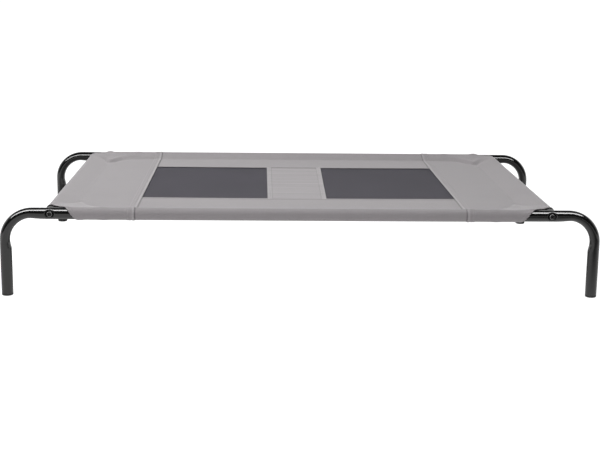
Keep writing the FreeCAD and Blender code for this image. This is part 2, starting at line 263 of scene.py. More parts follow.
class Paint(Nodes):
    """One material, ending in a Principled shader."""

    def __init__(self, name, **constants):
        self.material = bpy.data.materials.new(name)
        self.material.use_nodes = True
        super().__init__(self.material.node_tree)
        self.shader = self.tree.nodes["Principled BSDF"]
        for socket, constant in constants.items():
            self.shader.inputs[socket.replace("_", " ")].default_value = constant

    def place(self, stretch=(1, 1, 1)):
        """The piece's own place in metres."""
        where = self.node("ShaderNodeTexCoord", {}, output="Object")
        return self.node("ShaderNodeMapping", {}, Vector=where, Scale=stretch)

    def cut_place(self, stretch=(1, 1, 1)):
        """The place on the flat cut of a cloth, in metres."""
        where = self.node("ShaderNodeUVMap", {"uv_map": "cut"})
        return self.node("ShaderNodeMapping", {}, Vector=where, Scale=stretch)

    def noise(self, where, scale, detail=2.0, roughness=0.5):
        look = {"Scale": scale, "Detail": detail, "Roughness": roughness}
        return self.node("ShaderNodeTexNoise", {"noise_dimensions": "3D"}, Vector=where, **look)

    def blend(self, share, first, second):
        """A colour between two, by a share from 0 to 1."""
        # The Mix node's sockets for colours: factor, first and second, and its third output.
        mix = self.node("ShaderNodeMix", {"data_type": "RGBA"}, output=2)
        sockets = mix.socket.node.inputs
        for index, given in ((0, share), (6, first), (7, second)):
            if isinstance(given, Sum):
                self.tree.links.new(given.socket, sockets[index])
            else:
                sockets[index].default_value = given
        return mix

    def use(self, socket, given):
        self.tree.links.new(given.socket, self.shader.inputs[socket])

    def bump(self, height, strength, distance):
        bump = self.node("ShaderNodeBump", {}, Height=height, Strength=strength, Distance=distance)
        self.use("Normal", bump)


def grey(level, tint=(1, 1, 1)):
    return (*[level * share for share in tint], 1)


def gloss_black_paint():
    """Powder coat with a high gloss: faint orange peel, dust and small scuffs."""
    paint = Paint("gloss_black_paint", Specular_IOR_Level=0.5, Coat_Weight=0.25, Coat_Roughness=0.06)
    where = paint.place()
    cloud = paint.noise(where, 9.0, 3.0)
    dust = paint.noise(where, 420.0, 4.0, 0.7)
    scuff = paint.noise(paint.place((6, 60, 60)), 14.0, 5.0, 0.65)
    wear = ((scuff - 0.62) * 6.0).clamped()
    paint.use("Base Color", paint.blend(dust * 0.5 + cloud * 0.3, grey(0.002), grey(0.005)))
    paint.use("Roughness", (0.13 + cloud * 0.05 + wear * 0.12).clamped())
    paint.bump(paint.noise(where, 150.0, 2.0), 0.03, 0.0004)
    return paint.material


def foot_plastic():
    """Moulded black plastic with a fine grain, scuffed at its lower edge."""
    paint = Paint("foot_plastic", Specular_IOR_Level=0.35)
    where = paint.place()
    grain = paint.noise(where, 900.0, 3.0, 0.6)
    mottle = paint.noise(where, 60.0, 3.0)
    scuff = ((0.004 - paint.axis(where, 2)) * 300.0).clamped() * mottle
    paint.use("Base Color", paint.blend(scuff * 0.5 + grain * 0.25, grey(0.008), grey(0.035)))
    paint.use("Roughness", (0.38 + grain * 0.15 + scuff * 0.2).clamped())
    paint.bump(grain, 0.15, 0.0002)
    return paint.material


def plug_plastic():
    """Softer black plastic of the rail's end plugs."""
    paint = Paint("plug_plastic", Specular_IOR_Level=0.45)
    where = paint.place()
    grain = paint.noise(where, 700.0, 2.0)
    paint.use("Base Color", paint.blend(grain, grey(0.018), grey(0.034)))
    paint.use("Roughness", 0.34 + grain * 0.12)
    paint.bump(grain, 0.12, 0.0002)
    return paint.material


HIGHLIGHT_RING_RADIUS = 5.3


def black_bolt_steel():
    """Blackened steel, with a painted highlight ring round the edge of the head."""
    paint = Paint("black_bolt_steel", Specular_IOR_Level=0.22)
    where = paint.place()
    grain = paint.noise(where, 1500.0, 3.0, 0.7)
    along = paint.axis(where, 0).size() - CROSS_X
    above = paint.axis(where, 2) - AXIS_Z
    reach = (along * along + above * above).math("SQRT") * PER_MM
    # A thin lighter ring at the head's edge: a painted highlight.
    head_edge_highlight = (1.7 - (reach - HIGHLIGHT_RING_RADIUS).size() * 2.6).clamped() * (0.6 + grain * 0.5)
    paint.use("Base Color", paint.blend(head_edge_highlight, grey(0.004), grey(0.22)))
    paint.use("Roughness", (0.22 + grain * 0.12).clamped())
    paint.bump(grain, 0.1, 0.0001)
    return paint.material


def zinc():
    """Bright zinc of the hidden nuts."""
    paint = Paint("zinc", Metallic=1.0)
    grain = paint.noise(paint.place(), 800.0, 3.0)
    paint.use("Base Color", paint.blend(grain, grey(0.45), grey(0.62, (1, 1, 0.94))))
    paint.use("Roughness", 0.3 + grain * 0.15)
    return paint.material


CLOTH_TINT = (1.04, 0.965, 1.0)
FOLD_HIGHLIGHT_TINT = (1.02, 0.98, 1.0)
NET_TINT = (1.02, 0.93, 1.2)
THREAD_PITCH = 0.62 * MM
NET_PITCH = 2.6 * MM
ROW_SHARE = 0.866


def woven_cloth(name, light, dark, rib=0.0):
    """Coated plain-weave polyester: crossing threads, slubs, a slow mottle, and painted shade and highlight
    along the cover's seams.

    A cloth with ribs is the centre band, which has a hem along each side, with a painted highlight on each
    hem and painted shade in the crease beside it.
    """
    paint = Paint(name, Specular_IOR_Level=0.35, Sheen_Weight=0.25, Sheen_Roughness=0.45)
    where = paint.cut_place()
    turns = 2 * math.pi / THREAD_PITCH
    warp = (paint.axis(where, 0) * turns).math("SINE")
    weft = (paint.axis(where, 1) * turns).math("SINE")
    over = (warp * weft * 0.5 + 0.5).clamped()
    crown = warp.size() * over + weft.size() * (1 - over)
    slub_along = paint.noise(paint.cut_place((14, 700, 1)), 1.0, 3.0, 0.6)
    slub_across = paint.noise(paint.cut_place((700, 14, 1)), 1.0, 3.0, 0.6)
    slub = slub_along * (1 - over) + slub_across * over
    cloud = paint.noise(where, 7.0, 3.0, 0.55)
    mark = paint.noise(where, 34.0, 4.0, 0.6)
    tone = crown * 0.22 + slub * 0.42 + cloud * 0.2 + mark * 0.16
    height = crown * 0.5 + slub * 0.5
    if rib:
        ribs = (paint.axis(where, 1) * (2 * math.pi / rib)).math("SINE") * 0.5 + 0.5
        bars = (paint.noise(paint.cut_place((1.2, 50, 1)), 1.0, 2.0, 0.6) - 0.5) * 4.0 + 0.5
        tone = tone * 0.5 + ribs * 0.12 + bars * 0.38
        height = height + ribs * 0.9
    colour = paint.blend(tone.clamped(), dark, light)
    if rib:
        from_middle = (paint.axis(where, 0) - CENTRE_MIDDLE).size()
        inside = (CENTRE_HALF - from_middle) * PER_MM
        # Painted highlight on the raised hems and painted shade in the crease beside each hem.
        hem = (CENTRE_HEM * PER_MM - inside).clamped()
        crease_shade = inside.near(CENTRE_HEM * PER_MM + 1, 1.6)
        colour = paint.blend(hem * 0.1, colour, grey(0.36))
        colour = paint.blend(crease_shade * 0.22, colour, grey(0.04))
    # Along the end panel's seam: painted shade in the gap inboard of its edge, and a painted highlight on its
    # folded edge.
    past_seam = (paint.axis(where, 0).size() - NET_OUTER_X) * PER_MM
    seam_gap_shade, fold = past_seam.near(-1.6, 1.6), past_seam.near(2.6, 2.6)
    colour = paint.blend(seam_gap_shade * 0.6, colour, grey(0.02))
    colour = paint.blend(fold * 0.22, colour, grey(0.36, FOLD_HIGHLIGHT_TINT))
    paint.use("Base Color", colour)
    paint.use("Roughness", (0.72 + slub * 0.18 - crown * 0.06).clamped())
    paint.bump(height, 0.45, 0.00022)
    return paint.material


def open_net():
    """Knitted net: rows of small round holes between shiny dark yarns."""
    paint = Paint("open_net", Specular_IOR_Level=0.15)
    where = paint.cut_place()
    row = paint.axis(where, 1) / (NET_PITCH * ROW_SHARE)
    shift = row.math("FLOOR").math("MODULO", 2.0) * 0.5
    column = paint.axis(where, 0) / NET_PITCH + shift
    across = column.math("FRACT") - 0.5
    along = (row.math("FRACT") - 0.5) * ROW_SHARE
    reach = (across * across + along * along).math("SQRT")
    hole = ((0.17 - reach) * 14.0).clamped()
    yarn = paint.noise(paint.cut_place((900, 240, 1)), 1.0, 3.0, 0.6)
    cloud = paint.noise(where, 8.0, 3.0)
    tone = (yarn * 0.6 + cloud * 0.4).clamped()
    paint.use("Base Color", paint.blend(tone, grey(0.018, NET_TINT), grey(0.048, NET_TINT)))
    paint.use("Roughness", 0.5 + yarn * 0.25)
    paint.use("Alpha", 1 - hole * 0.9)
    paint.bump(reach * 1.4 + yarn * 0.3, 0.5, 0.0004)
    return paint.material


def thread_yarn():
    """Twisted polyester sewing thread."""
    paint = Paint("thread_yarn", Specular_IOR_Level=0.4, Sheen_Weight=0.3)
    twist = paint.noise(paint.place(), 2600.0, 2.0)
    paint.use("Base Color", paint.blend(twist, grey(0.13, CLOTH_TINT), grey(0.24, CLOTH_TINT)))
    paint.use("Roughness", 0.5 + twist * 0.2)
    return paint.material


PAINT = gloss_black_paint()
FOOT = foot_plastic()
PLUG = plug_plastic()
BOLT = black_bolt_steel()
ZINC = zinc()
CLOTH = woven_cloth("grey_cloth", grey(0.2, CLOTH_TINT), grey(0.11, CLOTH_TINT))
RIB_PITCH = 3.5 * MM
CENTRE_CLOTH = woven_cloth("ribbed_cloth", grey(0.22, CLOTH_TINT), grey(0.125, CLOTH_TINT), RIB_PITCH)
NET = open_net()
THREAD = thread_yarn()


def dress(piece, material):
    piece.data.materials.clear()
    piece.data.materials.append(material)
    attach(piece, "root")


# ---- the frame -----------------------------------------------------------------------------------

RING = 72
BEND_RADIUS = 59 * MM
SPIGOT_RADIUS = TUBE_RADIUS - 1.4 * MM
SEAT_X = CROSS_X - LEG_TIP_X
SEAT_DEPTH = 4.2 * MM
SEAT_LEAN = math.radians(9)
RUN_END = (LEG_X - BEND_RADIUS) - LEG_TIP_X
BEND_LENGTH = BEND_RADIUS * math.pi / 2
TUBE_LENGTH = RUN_END + BEND_LENGTH + (AXIS_Z - BEND_RADIUS - LEG_FOOT_Z)


def eased(share):
    """From 0 to 1 with a soft start and end."""
    share = min(1.0, max(0.0, share))
    return share * share * (3 - 2 * share)


def bend_squash(along):
    """How thin the bent tube is in the plane of its bend, as a share of its diameter."""
    into = (along - RUN_END) / BEND_LENGTH
    ease = eased((into + 0.3) / 0.5) * eased((1.23 - into) / 0.24)
    return 1 - (0.1 + 0.025 * into) * ease


def leg_stations():
    """Places along the leg's tube where it gets a ring, closer together where its shape changes."""
    steps = [(SEAT_X - 22 * MM, 8 * MM), (SEAT_X + 22 * MM, 1.1 * MM), (RUN_END, 3 * MM)]
    steps += [(RUN_END + 1.3 * BEND_LENGTH, 1.8 * MM), (TUBE_LENGTH, 12 * MM)]
    along = SHOULDER_X - LEG_TIP_X
    places = []
    for end, step in steps:
        count = max(1, round((end - along) / step))
        places += [along + (end - along) * (i + 1) / count for i in range(count)]
        along = end
    return places


def make_leg():
    """The front right leg: a straight swaged tube, squashed and pressed, then bent down along its path."""
    deselect()
    turn = (0, math.radians(90), 0)
    bpy.ops.mesh.primitive_circle_add(vertices=RING, radius=SPIGOT_RADIUS, fill_type="NGON", rotation=turn)
    leg = settle(named("front_right_leg_tube"))
    bpy.ops.object.mode_set(mode="EDIT")
    bpy.ops.mesh.select_all(action="SELECT")
    shoulder = SHOULDER_X - LEG_TIP_X
    extrude_to((shoulder - SWAGE_LENGTH, 0, 0))
    grow = TUBE_RADIUS / SPIGOT_RADIUS
    extrude_to((SWAGE_LENGTH, 0, 0), (1, grow, grow), (shoulder, 0, 0))
    along, squash = shoulder, 1.0
    for place in leg_stations():
        wanted = bend_squash(place)
        extrude_to((place - along, 0, 0), (1, 1, wanted / squash), (place, 0, TUBE_RADIUS))
        along, squash = place, wanted

    def round_seat(start, end):
        """The front of the tube between two distances from the bolt."""
        return lambda co: co.y < 0 and start < math.hypot(co.x - SEAT_X, co.z) < end

    middle = (SEAT_X, SEAT_DEPTH - TUBE_RADIUS, 0)
    pick(leg, round_seat(-1, 9 * MM))
    bpy.ops.transform.resize(value=(1, 0, 1), center_override=middle)
    bpy.ops.transform.rotate(value=SEAT_LEAN, orient_axis="X", center_override=middle)
    pick(leg, round_seat(8 * MM, 20 * MM))
    bpy.ops.mesh.vertices_smooth(factor=0.5, repeat=6, xaxis=False, yaxis=True, zaxis=True)
    bpy.ops.mesh.select_all(action="SELECT")
    bpy.ops.mesh.normals_make_consistent(inside=False)
    bpy.ops.object.mode_set(mode="OBJECT")

    bpy.ops.curve.primitive_bezier_curve_add()
    path = named("leg_path")
    points = path.data.splines[0].bezier_points
    points.add(2)
    # The bend is a quarter of a circle, so its handles have this length.
    pull = BEND_RADIUS * 4 / 3 * math.tan(math.pi / 8)
    foot_x, bend_z = RUN_END + BEND_RADIUS, -BEND_RADIUS
    route = [
        ((-0.01, 0), (0, 0), (0.01, 0)),
        ((RUN_END - 0.01, 0), (RUN_END, 0), (RUN_END + pull, 0)),
        ((foot_x, bend_z + pull), (foot_x, bend_z), (foot_x, bend_z - 0.01)),
        ((foot_x, bend_z - 0.1), (foot_x, bend_z - 0.2), (foot_x, bend_z - 0.3)),
    ]
    for point, (before, spot, after) in zip(points, route):
        point.handle_left_type = point.handle_right_type = "FREE"
        point.co = (spot[0], 0, spot[1])
        point.handle_left = (before[0], 0, before[1])
        point.handle_right = (after[0], 0, after[1])
    path.data.resolution_u = 64
    path.data.twist_mode = "MINIMUM"

    follow = leg.modifiers.new("follow", "CURVE")
    follow.object = path
    follow.deform_axis = "POS_X"
    apply_modifiers(leg)
    bpy.data.objects.remove(path)
    leg.location = (LEG_TIP_X, -RAIL_Y, AXIS_Z)
    return smooth(settle(leg), 35)


def make_foot_cap():
    """The front right foot cap: a low moulded disc with a rounded foot and a fine step under the tube."""
    deselect()
    edge_round = 2.6 * MM
    flat = TUBE_RADIUS - edge_round
    hollow = flat * 0.62
    start = (LEG_X, -RAIL_Y, 0.5 * MM)
    bpy.ops.mesh.primitive_circle_add(vertices=RING, radius=hollow, fill_type="NGON", location=start)
    cap = settle(named("front_right_cap"))
    bpy.ops.object.mode_set(mode="EDIT")
    bpy.ops.mesh.select_all(action="SELECT")
    middle = (LEG_X, -RAIL_Y)
    outline = [(flat * 0.66, 0.0)]
    for turn in [math.radians(15 * i) for i in range(7)]:
        outline.append((flat + edge_round * math.sin(turn), edge_round * (1 - math.cos(turn))))
    top = LEG_FOOT_Z
    outline += [(TUBE_RADIUS, top - 0.7 * MM), (TUBE_RADIUS - 0.5 * MM, top - 0.3 * MM)]
    outline += [(TUBE_RADIUS - 0.6 * MM, top + 0.2 * MM), (TUBE_RADIUS - 1.6 * MM, top + 0.2 * MM)]
    outline += [(TUBE_RADIUS - 1.7 * MM, top + 14 * MM)]
    radius, height = hollow, start[2]
    for wide, high in outline:
        share = wide / radius
        extrude_to((0, 0, high - height), (share, share, 1), (*middle, high))
        radius, height = wide, high
    bpy.ops.mesh.edge_face_add()
    bpy.ops.mesh.select_all(action="SELECT")
    bpy.ops.mesh.normals_make_consistent(inside=False)
    bpy.ops.object.mode_set(mode="OBJECT")
    return smooth(cap, 35)


def make_bolt():
    """The front right bolt: a button head with a hexagon socket, and its shank."""
    deselect()
    head_radius, head_height = 6 * MM, 3.3 * MM
    socket_radius, socket_depth = 2 * MM / math.cos(math.pi / 6), 2.2 * MM
    shank_radius, shank_length = 3 * MM, 30 * MM
    bpy.ops.mesh.primitive_circle_add(vertices=6, radius=socket_radius, fill_type="NGON")
    bolt = named("front_right_bolt")
    only(bolt)
    bpy.ops.object.mode_set(mode="EDIT")
    bpy.ops.mesh.select_mode(type="EDGE")
    bpy.ops.mesh.select_all(action="SELECT")
    bpy.ops.mesh.subdivide(number_cuts=7)
    bpy.ops.mesh.select_all(action="SELECT")
    extrude_to((0, 0, socket_depth))
    height = socket_depth + 0.25 * MM
    extrude_to((0, 0, 0.25 * MM), (1.14, 1.14, 1), (0, 0, height))
    top = height + 0.1 * MM
    extrude_to((0, 0, 0.1 * MM), (1.15, 1.15, 1), (0, 0, top))
    bpy.ops.transform.tosphere(value=1.0)
    radius, height = 2.9 * MM, top
    for turn in [math.radians(degrees) for degrees in (30, 42, 54, 66, 78, 88)]:
        wide = head_radius * math.sin(turn)
        high = top - (head_height - 0.7 * MM) * (1 - math.cos(turn))
        share = wide / radius
        extrude_to((0, 0, high - height), (share, share, 1), (0, 0, high))
        radius, height = wide, high
    low = top - head_height
    extrude_to((0, 0, low - height))
    share = shank_radius / radius
    extrude_to((0, 0, 0), (share, share, 1), (0, 0, low))
    extrude_to((0, 0, -shank_length))
    bpy.ops.mesh.edge_face_add()
    bpy.ops.mesh.select_all(action="SELECT")
    bpy.ops.mesh.normals_make_consistent(inside=False)
    bpy.ops.transform.translate(value=(0, 0, -low))
    bpy.ops.object.mode_set(mode="OBJECT")
    bolt.rotation_euler = (math.radians(90), 0, 0)
    bolt.location = (CROSS_X, BOLT_FACE_Y + head_height, AXIS_Z)
    return smooth(settle(bolt), 30)


def at_four_corners(piece, name):
    """The front right piece and its three mirror images, named by their corners."""
    piece.name = piece.data.name = f"front_right_{name}"
    return {
        "front_right": piece,
        "front_left": mirror_copy(piece, f"front_left_{name}", across_x=True),
        "rear_right": mirror_copy(piece, f"rear_right_{name}", across_y=True),
        "rear_left": mirror_copy(piece, f"rear_left_{name}", across_x=True, across_y=True),
    }


for corner, leg in at_four_corners(make_leg(), "leg_tube").items():
    dress(leg, PAINT)
    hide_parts(f"{corner}_leg")

for corner, cap in at_four_corners(make_foot_cap(), "cap").items():
    dress(cap, FOOT)
    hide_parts(f"{corner}_foot_cap")

bolts = join(list(at_four_corners(make_bolt(), "bolt").values()), "button_head_bolts")
dress(bolts, BOLT)
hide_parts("bolts")


def finish_node(node, material):
    """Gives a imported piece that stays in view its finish."""
    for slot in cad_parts[node].material_slots:
        slot.material = material


for rail in ("front_rail", "rear_rail", "left_cross_rail", "right_cross_rail"):
    finish_node(rail, PAINT)
for corner in ("front_right", "front_left", "rear_right", "rear_left"):
    finish_node(f"{corner}_end_plug", PLUG)
finish_node("nuts", ZINC)

# ---- the cover -----------------------------------------------------------------------------------

SAG = 2.5 * MM
PUCKER_X, PUCKER_DEPTH = 490 * MM, 70 * MM
FRONT_PUCKER = 0.2


def crown(along, reach, edge):
    """From 0 to 1 across a rising ply, soft at its fold."""
    share = np.clip((along - edge) / np.maximum(reach - edge, 1e-6), 0, 1)
    soft = 0.07
    return (np.sqrt(share * share + soft * soft) - soft) / (math.sqrt(1 + soft * soft) - soft)


def ply_rise(along, axis, edge):
    """Height over the flat cloth of the ply that climbs from its fold, at edge, to a tube's top, at axis."""
    lift = COVER_Z - AXIS_Z
    away = np.hypot(axis - edge, lift)
    slope = np.arcsin(SLEEVE_RADIUS / away) - np.arctan2(lift, axis - edge)
    touch = axis - SLEEVE_RADIUS * np.sin(slope)
    top = AXIS_Z + SLEEVE_RADIUS * np.cos(slope) - COVER_Z
    straight = top * crown(along, touch, edge)
    into = np.clip(axis - along, -SLEEVE_RADIUS, SLEEVE_RADIUS)
    on_tube = AXIS_Z + np.sqrt(SLEEVE_RADIUS**2 - into**2) - COVER_Z
    return np.where(along > touch, on_tube, straight)


def fold_y(x):
    """Where the long side's ply starts to rise; near each corner the fold runs in to a pucker."""
    off = (np.abs(x) - PUCKER_X) / (18 * MM)
    inner = (1 + off * off) ** 0.8
    outer = (1 + (1.9 * off) ** 2) ** 0.4
    return STITCH_Y - 5 * MM - PUCKER_DEPTH / np.where(off > 0, outer, inner)


def pucker(x, y):
    """The gathered cloth at each corner: a valley along the fold and a soft roll behind it."""
    off = np.abs(x) - PUCKER_X
    near = np.exp(-((off / np.where(off > 0, 22 * MM, 36 * MM)) ** 2))
    behind = np.abs(y) - fold_y(x)
    valley = 2.8 * MM * np.exp(-(((behind - 3 * MM) / (14 * MM)) ** 2))
    roll = 2.4 * MM * np.exp(-(((behind - 30 * MM) / (15 * MM)) ** 2))
    return near * (roll - valley) * np.where(y > 0, 1.0, FRONT_PUCKER)


def tension(x, y):
    """Faint ripples that run in from the long sleeves' stitching."""
    near = np.exp(-(((np.abs(y) - STITCH_Y) / (34 * MM)) ** 2))
    turns = 2 * math.pi * x / (52 * MM) + 1.7 * np.sin(2 * math.pi * x / (260 * MM) + np.sign(y))
    return 0.3 * MM * near * np.sin(turns)


def height(x, y):
    """Height of the cover's upper side, inboard of the tubes' tops."""
    across, along = np.abs(y), np.abs(x)
    rise_long = ply_rise(across, RAIL_Y, fold_y(x))
    rise_cross = ply_rise(along, CROSS_X, STITCH_X)
    full = SLEEVE_RADIUS + AXIS_Z - COVER_Z
    both = rise_long + rise_cross - rise_long * rise_cross / full
    share_x = np.clip(along / STITCH_X, 0, 1)
    share_y = np.clip(across / STITCH_Y, 0, 1)
    hollow = SAG * (1 - share_x**2) * (1 - share_y**2)
    return COVER_Z + both - hollow + pucker(x, y) + tension(x, y)


def tangent(stitch_in):
    """Where a ply leaves the round of a tube for its stitching: (height, distance, angle round the tube)."""
    lift = COVER_Z - 1.0 * MM - AXIS_Z
    away = math.hypot(stitch_in, lift)
    leave = math.radians(270) + math.atan2(lift, stitch_in) - math.acos(SLEEVE_RADIUS / away)
    return lift, math.sqrt(away**2 - SLEEVE_RADIUS**2), leave


def wrap(beyond, stitch_in):
    """Round a tube and back: (outwards from the tube's axis, height) of a point this far past its top."""
    lift, back_length, leave = tangent(stitch_in)
    round_length = SLEEVE_RADIUS * leave
    turn = np.clip(beyond / SLEEVE_RADIUS, 0, leave)
    out, up = SLEEVE_RADIUS * np.sin(turn), SLEEVE_RADIUS * np.cos(turn)
    back = np.clip(beyond - round_length, 0, back_length) / back_length
    out = out * (1 - back) - stitch_in * back
    up = up * (1 - back) + lift * back
    under = np.maximum(beyond - round_length - back_length, 0)
    return out - under, AXIS_Z + up


def wrap_length(stitch_in):
    """Length of cloth from the top of a tube, round it and back to the stitching."""
    _, back_length, leave = tangent(stitch_in)
    return SLEEVE_RADIUS * leave + back_length


def fit_to_bed(u, v):
    """Takes points of the flat cut, measured from the bed's middle, to where they lie on the bed."""
    x, y = u.copy(), v.copy()
    z = height(np.clip(u, -CROSS_X, CROSS_X), np.clip(v, -RAIL_Y, RAIL_Y))
    past_rail = np.abs(v) > RAIL_Y
    out, up = wrap(np.abs(v) - RAIL_Y, RAIL_Y - STITCH_Y)
    y[past_rail] = (np.sign(v) * (RAIL_Y + out))[past_rail]
    z[past_rail] = up[past_rail]
    past_cross = np.abs(u) > CROSS_X
    out, up = wrap(np.abs(u) - CROSS_X, CROSS_X - STITCH_X)
    x[past_cross] = (np.sign(u) * (CROSS_X + out))[past_cross]
    z[past_cross] = up[past_cross]
    return x, y, z


def stations(*stretches):
    """Grid lines from (start, end, about how far apart) stretches that follow each other."""
    lines = [stretches[0][0]]
    for start, end, step in stretches:
        count = max(1, round(abs(end - start) / step))
        lines += [start + (end - start) * (i + 1) / count for i in range(count)]
    return np.array(lines)


def cut_cloth(name, us, vs, keep=None, snap=None):
    """A flat cut with grid lines at the given places; keep drops faces, snap moves its outline."""
    deselect()
    bpy.ops.mesh.primitive_grid_add(x_subdivisions=len(us) - 1, y_subdivisions=len(vs) - 1, size=2)
    cloth = named(name)
    flat = spots_of(cloth.data)
    column = np.rint((flat[:, 0] + 1) / 2 * (len(us) - 1)).astype(int)
    row = np.rint((flat[:, 1] + 1) / 2 * (len(vs) - 1)).astype(int)
    flat[:, 0], flat[:, 1] = us[column], vs[row]
    put_spots(cloth.data, flat)
    if keep:
        only(cloth)
        bpy.ops.object.mode_set(mode="EDIT")
        pick(cloth, lambda centre: not keep(centre.x, centre.y), "FACE")
        bpy.ops.mesh.delete(type="FACE")
        bpy.ops.object.mode_set(mode="OBJECT")
    if snap:
        for vertex in cloth.data.vertices:
            vertex.co.x, vertex.co.y = snap(vertex.co.x, vertex.co.y)
    return cloth


def lay_on_bed(cloth, lift, thickness=PLY):
    """Keeps the flat cut as the UV map, takes the cloth to its place and gives it its thickness."""
    mesh = cloth.data
    flat = spots_of(mesh)
    layer = mesh.uv_layers[0]
    layer.name = "cut"
    corners = np.empty(len(mesh.loops), int)
    mesh.loops.foreach_get("vertex_index", corners)
    layer.data.foreach_set("uv", flat[corners, :2].ravel())
    u, v = flat[:, 0], flat[:, 1]
    placed = np.stack(fit_to_bed(u, v), axis=1)
    put_spots(mesh, placed)
    normals = np.empty(len(mesh.vertices) * 3)
    mesh.vertices.foreach_get("normal", normals)
    put_spots(mesh, placed + normals.reshape(-1, 3) * lift(u, v)[:, None])
    wall = cloth.modifiers.new("ply", "SOLIDIFY")
    wall.thickness = thickness
    wall.offset = 0
    wall.use_even_offset = False
    return smooth(apply_modifiers(cloth), 50)


def ridge(along, start, end, high, soft=0.8 * MM):
    """A raised band of cloth between two lines, with soft edges."""
    up = np.clip((along - start) / soft + 0.5, 0, 1)
    down = np.clip((end - along) / soft + 0.5, 0, 1)
    return high * up * up * (3 - 2 * up) * down * down * (3 - 2 * down)


def groove(along, line, deep, half=1.1 * MM):
    """Where a row of stitches pulls the cloth in."""
    return -deep * np.exp(-(((along - line) / half) ** 2))


SLEEVE_V = RAIL_Y + wrap_length(RAIL_Y - STITCH_Y) + HEM_LENGTH
SLEEVE_U = CROSS_X + wrap_length(CROSS_X - STITCH_X) + HEM_LENGTH
CUT_SPARE = 4 * MM

# Outline of the corner's cut on the flat cloth: past the long rail, between the tubes' tops, and past
# the cross rail.
NOTCH = [
    (456 * MM, SLEEVE_V + CUT_SPARE),
    (477 * MM, RAIL_Y + 41 * MM),
    (509 * MM, RAIL_Y + 3 * MM),
    (CROSS_X + 1 * MM, 363 * MM),
    (CROSS_X + 41 * MM, 343 * MM),
    (SLEEVE_U + CUT_SPARE, 318 * MM),
]


def notch_v(u):
    """How far from the middle the cloth reaches at this place along the bed."""
    us, vs = zip(*NOTCH)
    return float(np.interp(u, us, vs))


def in_panel(u, v):
    return abs(v) < notch_v(u)


def to_outline(u, v):
    """Brings a point past the corner's cut back to its outline."""
    if abs(v) <= notch_v(u) or u < NOTCH[0][0]:
        return u, v
    here = Vector((u, abs(v)))
    nearest = []
    for start, end in zip(map(Vector, NOTCH), map(Vector, NOTCH[1:])):
        run = end - start
        share = min(1.0, max(0.0, (here - start).dot(run) / run.length_squared))
        nearest.append(start + run * share)
    best = min(nearest, key=lambda spot: (spot - here).length)
    return best.x, math.copysign(best.y, v)


def off_outline(u, v):
    """How far inside the corner's cut edge each point lies."""
    here = np.stack([u, np.abs(v)], axis=1)
    nearest = np.full(len(u), 1.0)
    for start, end in zip(map(np.array, NOTCH), map(np.array, NOTCH[1:])):
        run = end - start
        share = np.clip((here - start) @ run / (run @ run), 0, 1)
        nearest = np.minimum(nearest, np.linalg.norm(here - start - share[:, None] * run, axis=1))
    return nearest


GATHER_X, INNER_GATHER_X = 505 * MM, 424 * MM


def up_on_rail(y):
    """From 0 at a long sleeve's stitching to 1 at the top of its rail."""
    return np.clip((y - STITCH_Y) / (RAIL_Y - STITCH_Y), 0, 1)


def panel_lift(u, v):
    """The end panel's folded seam, its rows of stitches, its hemmed corners and its gathered sleeves."""
    u = np.abs(u)
    past = u - NET_OUTER_X
    seam = ridge(past, -1 * MM, SEAM_WIDTH, 0.8 * MM) + ridge(past, -1 * MM, 4.2 * MM, 0.35 * MM)
    rows = sum(groove(past, row, 0.3 * MM) for row in SEAM_ROWS)
    edge = off_outline(u, v)
    hem = ridge(edge, -3 * MM, HEM_LENGTH, 0.8 * MM) + groove(edge, HEM_ROW, 0.3 * MM)
    gathers = 1.0 * MM * np.exp(-(((u - GATHER_X) / (12 * MM)) ** 2))
    gathers += 0.7 * MM * np.exp(-(((u - INNER_GATHER_X) / (10 * MM)) ** 2))
    return seam + rows + hem + gathers * up_on_rail(np.abs(v))


TUBE_LEAD = 14 * MM


def make_end_panel():
    """The right end panel, with the cross sleeve and the ends of both long sleeves."""
    seam_end = NET_OUTER_X + SEAM_WIDTH + 2 * MM
    us = stations(
        (NET_OUTER_X, seam_end, 0.9 * MM),
        (seam_end, STITCH_X - TUBE_LEAD, 4 * MM),
        (STITCH_X - TUBE_LEAD, CROSS_X - TUBE_LEAD, 3 * MM),
        (CROSS_X - TUBE_LEAD, CROSS_X + 45 * MM, 2.2 * MM),
        (CROSS_X + 45 * MM, SLEEVE_U + CUT_SPARE, 5 * MM),
    )
    half = stations(
        (0, 240 * MM, 8 * MM),
        (240 * MM, RAIL_Y - TUBE_LEAD, 2.8 * MM),
        (RAIL_Y - TUBE_LEAD, RAIL_Y + 45 * MM, 2.2 * MM),
        (RAIL_Y + 45 * MM, SLEEVE_V, 5 * MM),
    )
    vs = np.concatenate([-half[:0:-1], half])
    panel = cut_cloth("right_end_cloth", us, vs, keep=in_panel, snap=to_outline)
    return lay_on_bed(panel, panel_lift)


def band_lift(u, v):
    """The side band's folded edge over the nets and its row of stitches."""
    past = np.abs(v) - NET_HALF_Y
    return ridge(past, -1 * MM, BAND_HEM, 0.6 * MM) + groove(past, BAND_ROW, 0.35 * MM)


